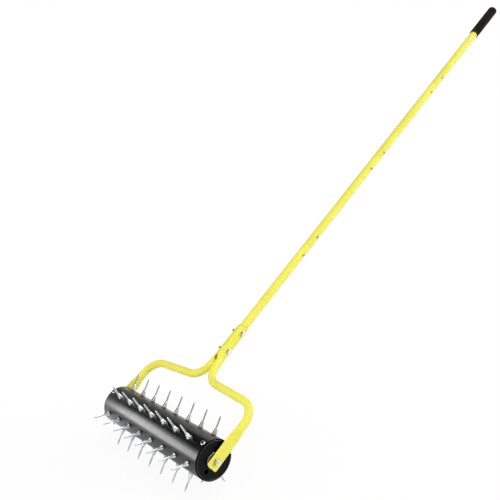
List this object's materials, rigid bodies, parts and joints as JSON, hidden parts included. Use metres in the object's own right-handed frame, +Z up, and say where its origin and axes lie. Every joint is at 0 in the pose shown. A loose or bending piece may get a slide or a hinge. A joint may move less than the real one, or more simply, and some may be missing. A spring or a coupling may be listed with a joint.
{
  "type": "rolling spike aerator",
  "caption": "Spiked drum that turns on bearings in a forked tube yoke at the end of a long sectional pole with a grip.",
  "frame": {"origin": "under the middle of the whole tool's box, on the ground that the spike tips stand on", "axes": "+X along the axle from the left end to the right end, +Y from the drum towards the grip, +Z up"},
  "size_m": [0.508, 1.6146, 1.2409],
  "materials": {
    "yellow_paint": "gloss powder coat",
    "drum_paint": "satin black",
    "cap_paint": "satin black",
    "spike_chrome": "bright chrome plate",
    "zinc_steel": "bright zinc plate",
    "bearing_steel": "ground and polished",
    "plain_steel": "plain turned steel",
    "seal_rubber": "matt black",
    "grip_rubber": "matt black with fine ribs"
  },
  "bodies": {
    "handle_frame": {"yoke_arm_left": "yellow_paint", "yoke_arm_right": "yellow_paint", "axle_rod": "zinc_steel", "axle_washer_left": "zinc_steel", "axle_washer_right": "zinc_steel", "axle_nut_left": "zinc_steel", "axle_nut_right": "zinc_steel", "spacer_bush_left": "plain_steel", "spacer_bush_right": "plain_steel", "bearing_inner_ring_left": "bearing_steel", "bearing_inner_ring_right": "bearing_steel", "yoke_bolt_lower": "zinc_steel", "yoke_bolt_upper": "zinc_steel", "yoke_nut_lower": "zinc_steel", "yoke_nut_upper": "zinc_steel", "pole_tube_1": "yellow_paint", "pole_tube_2": "yellow_paint", "pole_tube_3": "yellow_paint", "pole_tube_4": "yellow_paint", "pole_sleeve_1": "plain_steel", "pole_sleeve_2": "plain_steel", "pole_sleeve_3": "plain_steel", "pole_screw_1_lower": "zinc_steel", "pole_screw_1_upper": "zinc_steel", "pole_screw_2_lower": "zinc_steel", "pole_screw_2_upper": "zinc_steel", "pole_screw_3_lower": "zinc_steel", "pole_screw_3_upper": "zinc_steel", "pole_nut_1_lower": "zinc_steel", "pole_nut_1_upper": "zinc_steel", "pole_nut_2_lower": "zinc_steel", "pole_nut_2_upper": "zinc_steel", "pole_nut_3_lower": "zinc_steel", "pole_nut_3_upper": "zinc_steel", "grip": "grip_rubber"},
    "drum": {"drum_tube": "drum_paint", "end_cap_left": "cap_paint", "end_cap_right": "cap_paint", "bearing_outer_ring_left": "bearing_steel", "bearing_outer_ring_right": "bearing_steel", "bearing_ball_cage_left": "bearing_steel", "bearing_ball_cage_right": "bearing_steel", "bearing_seal_outer_left": "seal_rubber", "bearing_seal_outer_right": "seal_rubber", "bearing_seal_inner_left": "seal_rubber", "bearing_seal_inner_right": "seal_rubber", "cap_screw_left_1": "zinc_steel", "cap_screw_left_2": "zinc_steel", "cap_screw_left_3": "zinc_steel", "cap_screw_right_1": "zinc_steel", "cap_screw_right_2": "zinc_steel", "cap_screw_right_3": "zinc_steel", "spike_row_1": "spike_chrome", "spike_row_2": "spike_chrome", "spike_row_3": "spike_chrome", "spike_row_4": "spike_chrome", "spike_row_5": "spike_chrome", "spike_row_6": "spike_chrome"}
  },
  "joints": [
    {"name": "drum_spin", "type": "hinge", "parent": "handle_frame", "child": "drum", "pos_m": [0, -0.70582, 0.0879], "axis": [1, 0, 0], "continuous": true}
  ]
}
